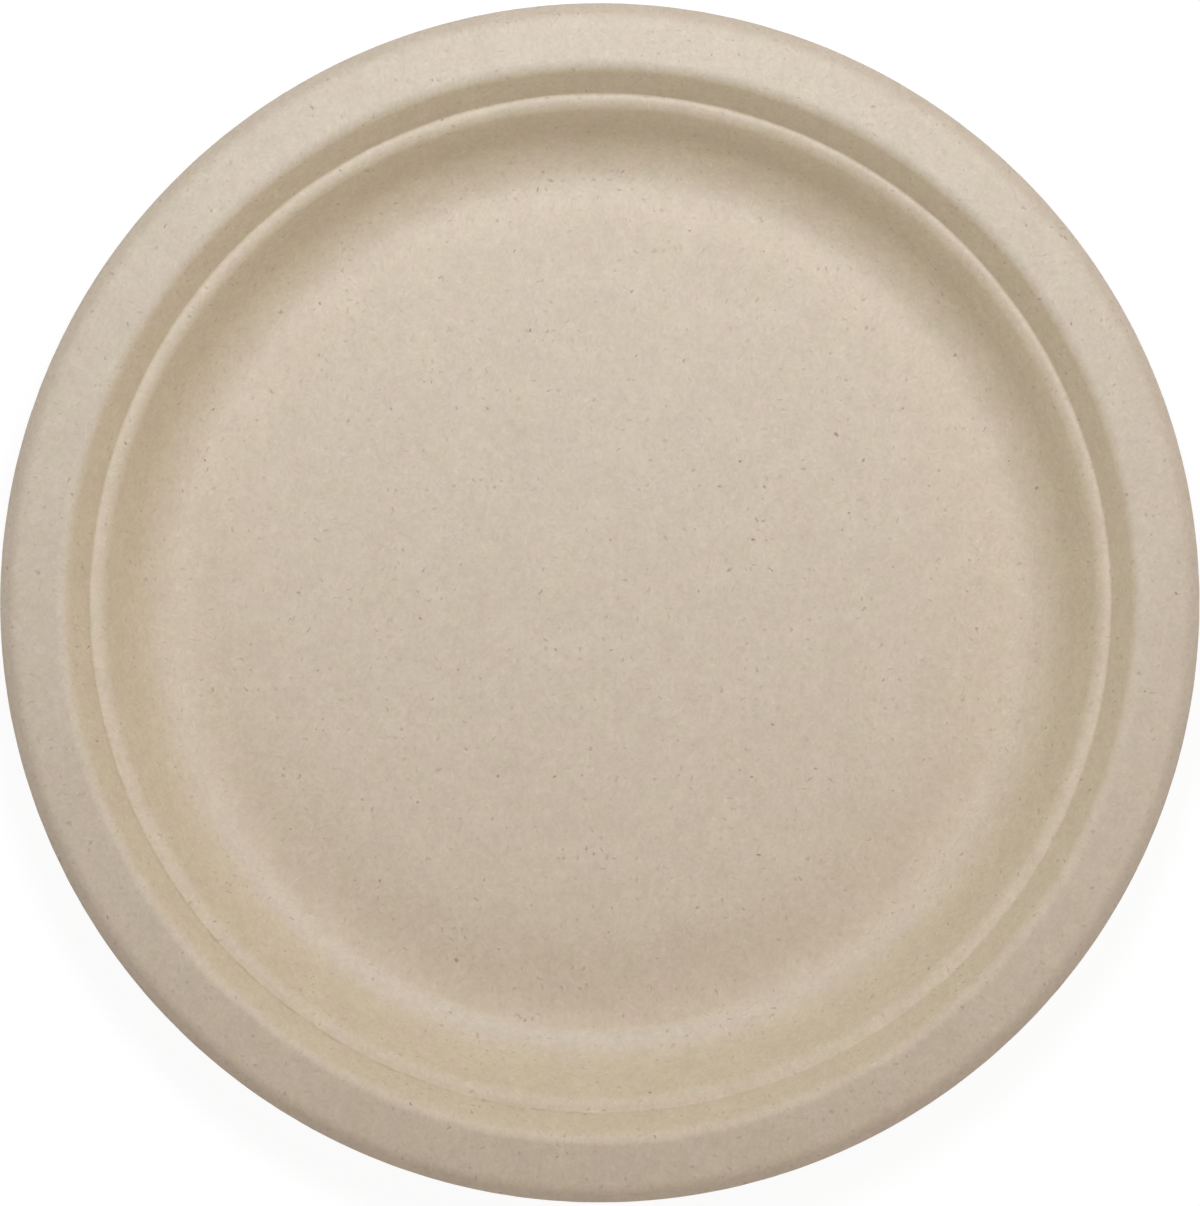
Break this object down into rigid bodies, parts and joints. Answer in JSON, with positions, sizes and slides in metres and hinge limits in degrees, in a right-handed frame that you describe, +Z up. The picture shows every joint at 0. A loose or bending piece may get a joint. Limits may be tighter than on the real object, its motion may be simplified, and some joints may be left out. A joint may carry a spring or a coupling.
{
  "type": "disposable plate",
  "caption": "Round disposable plate pressed from unbleached plant fibre, with a shallow well, a narrow ledge with a step behind it and a broad rim with a turned-down lip.",
  "frame": {"origin": "centre of the plate, in the plane of the foot that it rests on", "axes": "+Z up along the plate's axis of symmetry, out of the well; the plate is a body of revolution, so +X and +Y are any two level directions at right angles"},
  "size_m": [0.2286, 0.2286, 0.02],
  "materials": {
    "fibre": "matte"
  },
  "bodies": {
    "root": {"plate": "fibre"}
  },
  "joints": []
}
